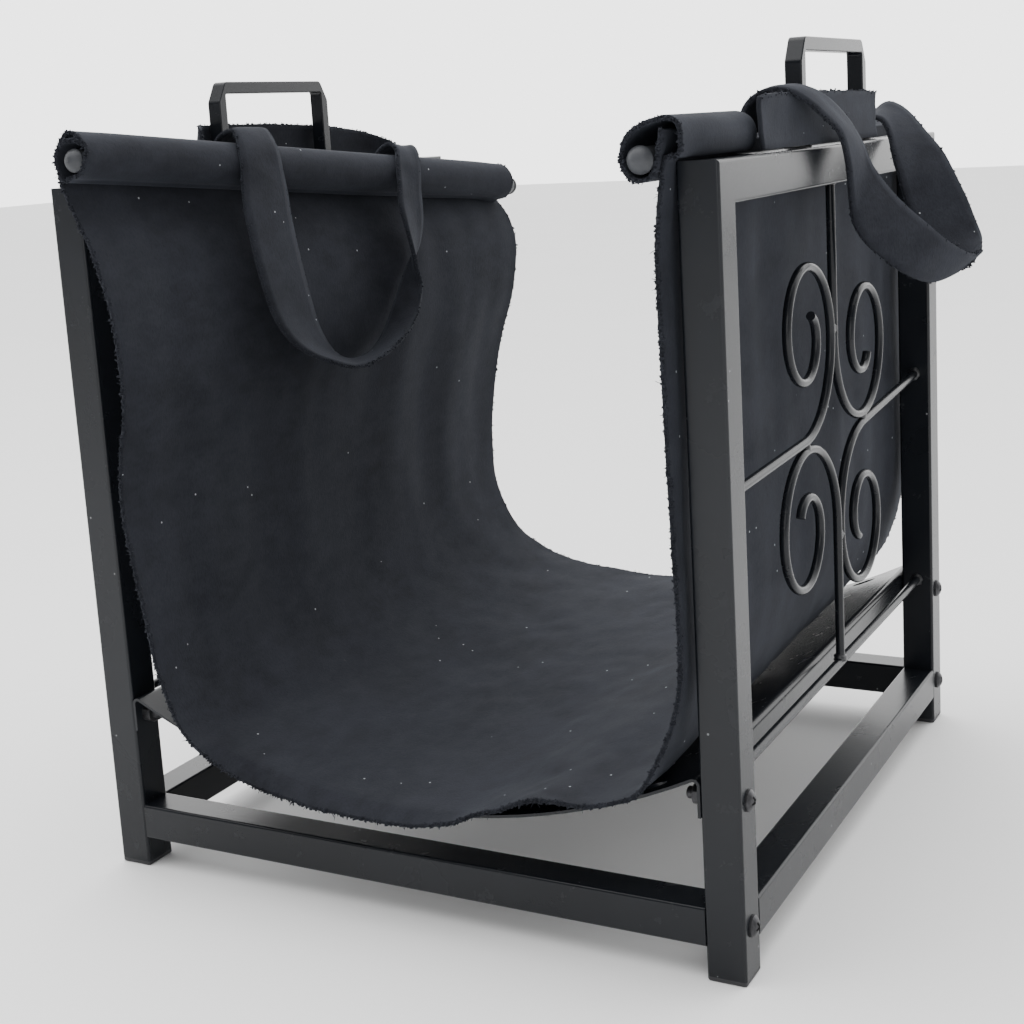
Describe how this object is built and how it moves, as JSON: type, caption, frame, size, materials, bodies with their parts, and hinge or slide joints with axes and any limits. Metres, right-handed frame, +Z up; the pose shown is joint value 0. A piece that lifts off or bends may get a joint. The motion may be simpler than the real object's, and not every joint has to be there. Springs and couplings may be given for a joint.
{
  "type": "firewood log rack",
  "caption": "Free-standing square-tube firewood rack with scroll side panels, a curved cradle tray and a lift-out suede log carrier on two rods.",
  "frame": {"origin": "centre of the rack's footprint, on the floor", "axes": "+Z up, +X to the right side panel, +Y to the rear; the cradle's trough runs along Y"},
  "size_m": [0.4288, 0.4202, 0.4395],
  "materials": {
    "powder_coat": "semi-gloss black powder coat",
    "black_fastener": "black-oxide screw heads and nuts",
    "plain_steel": "plain steel threaded plugs inside the rails",
    "foot_cap_plastic": "black moulded end caps",
    "rod_paint": "satin grey paint",
    "rod_cap_plastic": "grey moulded domed caps",
    "suede": "black split suede with raw fuzzy edges"
  },
  "bodies": {
    "frame": {"left_front_leg": "powder_coat", "left_front_foot_cap": "foot_cap_plastic", "left_rear_leg": "powder_coat", "left_rear_foot_cap": "foot_cap_plastic", "left_top_rail": "powder_coat", "left_side_rail": "powder_coat", "left_steel_handle": "powder_coat", "left_cross_rod": "powder_coat", "left_scroll_top_arm": "powder_coat", "left_scroll_front_arm": "powder_coat", "left_scroll_bottom_arm": "powder_coat", "left_scroll_rear_arm": "powder_coat", "right_front_leg": "powder_coat", "right_front_foot_cap": "foot_cap_plastic", "right_rear_leg": "powder_coat", "right_rear_foot_cap": "foot_cap_plastic", "right_top_rail": "powder_coat", "right_side_rail": "powder_coat", "right_steel_handle": "powder_coat", "right_cross_rod": "powder_coat", "right_scroll_top_arm": "powder_coat", "right_scroll_front_arm": "powder_coat", "right_scroll_bottom_arm": "powder_coat", "right_scroll_rear_arm": "powder_coat", "front_rail": "powder_coat", "rear_rail": "powder_coat", "cradle_tray": "powder_coat", "rail_screws": "black_fastener", "tray_screws": "black_fastener", "tray_nuts": "black_fastener", "rail_end_inserts": "plain_steel"},
    "carrier": {"suede_sling": "suede", "left_handle_band": "suede", "right_handle_band": "suede", "left_hem_rod": "rod_paint", "right_hem_rod": "rod_paint", "left_rod_caps": "rod_cap_plastic", "right_rod_caps": "rod_cap_plastic"},
    "left_strap": {"left_carry_strap": "suede"},
    "right_strap": {"right_carry_strap": "suede"}
  },
  "joints": [
    {"name": "carrier_lift", "type": "slide", "parent": "frame", "child": "carrier", "axis": [0, 0, 1], "range_m": [0, 0.4]},
    {"name": "left_strap_flop", "type": "hinge", "parent": "carrier", "child": "left_strap", "pos_m": [-0.1215, 0, 0.402], "axis": [0, -1, 0], "range_deg": [0, 170]},
    {"name": "right_strap_flop", "type": "hinge", "parent": "carrier", "child": "right_strap", "pos_m": [0.192, 0, 0.404], "axis": [0, -1, 0], "range_deg": [0, 150]}
  ]
}
